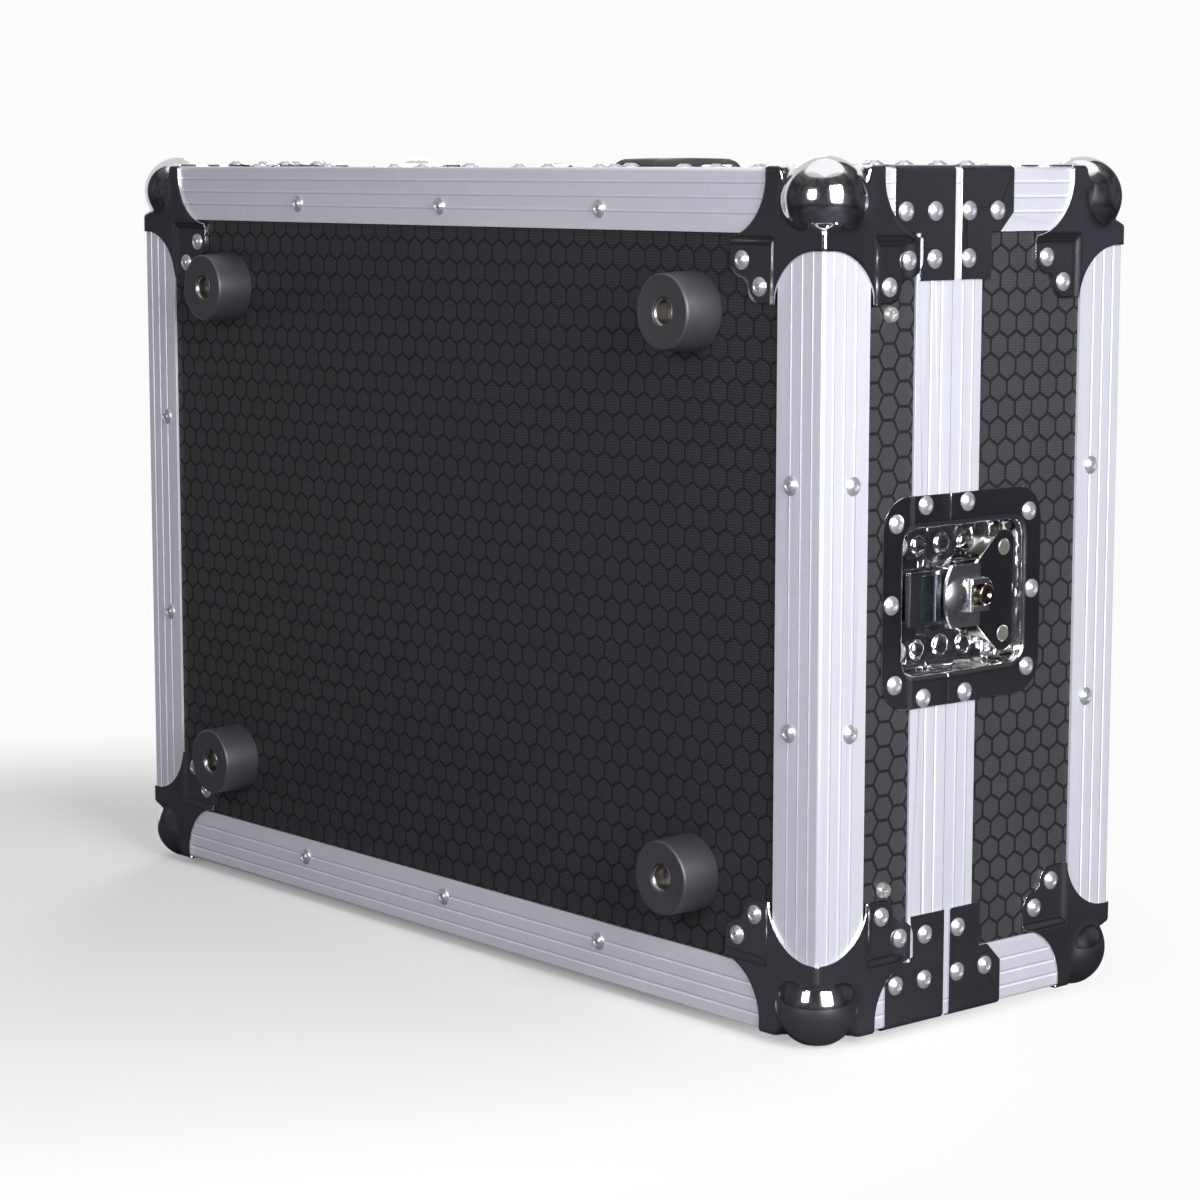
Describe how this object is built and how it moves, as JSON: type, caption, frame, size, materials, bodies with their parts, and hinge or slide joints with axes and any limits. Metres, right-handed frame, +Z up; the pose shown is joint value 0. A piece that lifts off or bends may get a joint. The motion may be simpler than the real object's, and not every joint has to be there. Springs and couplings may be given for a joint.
{
  "type": "flight case",
  "caption": "Flat flight case for a DJ controller: black laminate panels, aluminium edges, ball corners, butterfly latches, recessed handle and rubber feet.",
  "frame": {"origin": "on the floor, below the middle of the case as it stands on its rear side with the handle on top", "axes": "+X along the case's length, +Y from the base's feet to the lid's face, +Z up from the rear side to the handle side"},
  "size_m": [0.5756, 0.2287, 0.4146],
  "materials": {
    "laminate": "plywood faced with a black hexagon-patterned laminate",
    "profile_aluminium": "satin anodised extrusion with fine grooves",
    "corner_steel": "bright chrome-plated pressed steel",
    "dish_steel": "zinc-plated pressed steel",
    "latch_steel": "nickel-plated steel",
    "fixing_steel": "bright nickel-plated rivets and screws",
    "foot_rubber": "matt black rubber",
    "grip_rubber": "matt dark grey moulded rubber",
    "rail_wood": "bare plywood batten",
    "foam": "dark grey closed-cell foam"
  },
  "bodies": {
    "base": {"base_floor_panel": "laminate", "base_front_panel": "laminate", "base_rear_panel": "laminate", "base_left_panel": "laminate", "base_right_panel": "laminate", "base_long_profiles": "profile_aluminium", "base_short_profiles": "profile_aluminium", "base_corner_posts": "profile_aluminium", "base_ball_corners": "corner_steel", "base_corner_braces": "corner_steel", "base_profile_rivets": "fixing_steel", "base_corner_rivets": "fixing_steel", "base_brace_rivets": "fixing_steel", "latch_base_dish_right": "dish_steel", "latch_base_dish_left": "dish_steel", "latch_base_rivets": "fixing_steel", "latch_keepers": "dish_steel", "rubber_feet": "foot_rubber", "foot_washers": "fixing_steel", "foot_screws": "fixing_steel", "support_rails": "rail_wood", "rail_screws": "fixing_steel", "base_floor_foam": "foam", "base_wall_foam": "foam"},
    "lid": {"lid_top_panel": "laminate", "lid_front_panel": "laminate", "lid_rear_panel": "laminate", "lid_left_panel": "laminate", "lid_right_panel": "laminate", "lid_long_profiles": "profile_aluminium", "lid_short_profiles": "profile_aluminium", "lid_corner_posts": "profile_aluminium", "lid_ball_corners": "corner_steel", "lid_corner_braces": "corner_steel", "lid_profile_rivets": "fixing_steel", "lid_corner_rivets": "fixing_steel", "lid_brace_rivets": "fixing_steel", "latch_lid_dish_right": "dish_steel", "latch_lid_dish_left": "dish_steel", "latch_lid_rivets": "fixing_steel", "latch_brackets": "dish_steel", "bracket_standoffs": "fixing_steel", "handle_dish": "dish_steel", "handle_rivets": "fixing_steel", "handle_pivot_pins": "fixing_steel", "lid_top_foam": "foam", "lid_wall_foam": "foam"},
    "right_rotor": {"latch_rotor_right": "latch_steel", "latch_wing_pin_right": "fixing_steel"},
    "right_wing": {"latch_wing_right": "latch_steel"},
    "right_claw": {"latch_claw_right": "latch_steel"},
    "left_rotor": {"latch_rotor_left": "latch_steel", "latch_wing_pin_left": "fixing_steel"},
    "left_wing": {"latch_wing_left": "latch_steel"},
    "left_claw": {"latch_claw_left": "latch_steel"},
    "handle": {"handle_bail": "latch_steel", "handle_grip": "grip_rubber"}
  },
  "joints": [
    {"name": "lid_lift", "type": "slide", "parent": "base", "child": "lid", "axis": [0, 1, 0], "range_m": [0, 0.15]},
    {"name": "handle_fold", "type": "hinge", "parent": "lid", "child": "handle", "pos_m": [0.01, 0.03, 0.4053], "axis": [1, 0, 0], "range_deg": [0, 90]},
    {"name": "right_rotor_turn", "type": "hinge", "parent": "lid", "child": "right_rotor", "pos_m": [0.2785, 0.0156, 0.2073], "axis": [1, 0, 0], "range_deg": [0, 180]},
    {"name": "right_wing_fold", "type": "hinge", "parent": "right_rotor", "child": "right_wing", "pos_m": [0.2819, 0.0156, 0.2073], "axis": [0, 0, 1], "range_deg": [0, 90]},
    {"name": "right_claw_slide", "type": "slide", "parent": "lid", "child": "right_claw", "axis": [0, -1, 0], "range_m": [0, 0.006]},
    {"name": "left_rotor_turn", "type": "hinge", "parent": "lid", "child": "left_rotor", "pos_m": [-0.2785, 0.0156, 0.2073], "axis": [-1, 0, 0], "range_deg": [0, 180]},
    {"name": "left_wing_fold", "type": "hinge", "parent": "left_rotor", "child": "left_wing", "pos_m": [-0.2819, 0.0156, 0.2073], "axis": [0, 0, -1], "range_deg": [0, 90]},
    {"name": "left_claw_slide", "type": "slide", "parent": "lid", "child": "left_claw", "axis": [0, -1, 0], "range_m": [0, 0.006]}
  ],
  "couplings": [
    {"joint": "right_claw_slide", "follows": "right_rotor_turn", "m_per_rad": 0.0019},
    {"joint": "left_claw_slide", "follows": "left_rotor_turn", "m_per_rad": 0.0019}
  ]
}
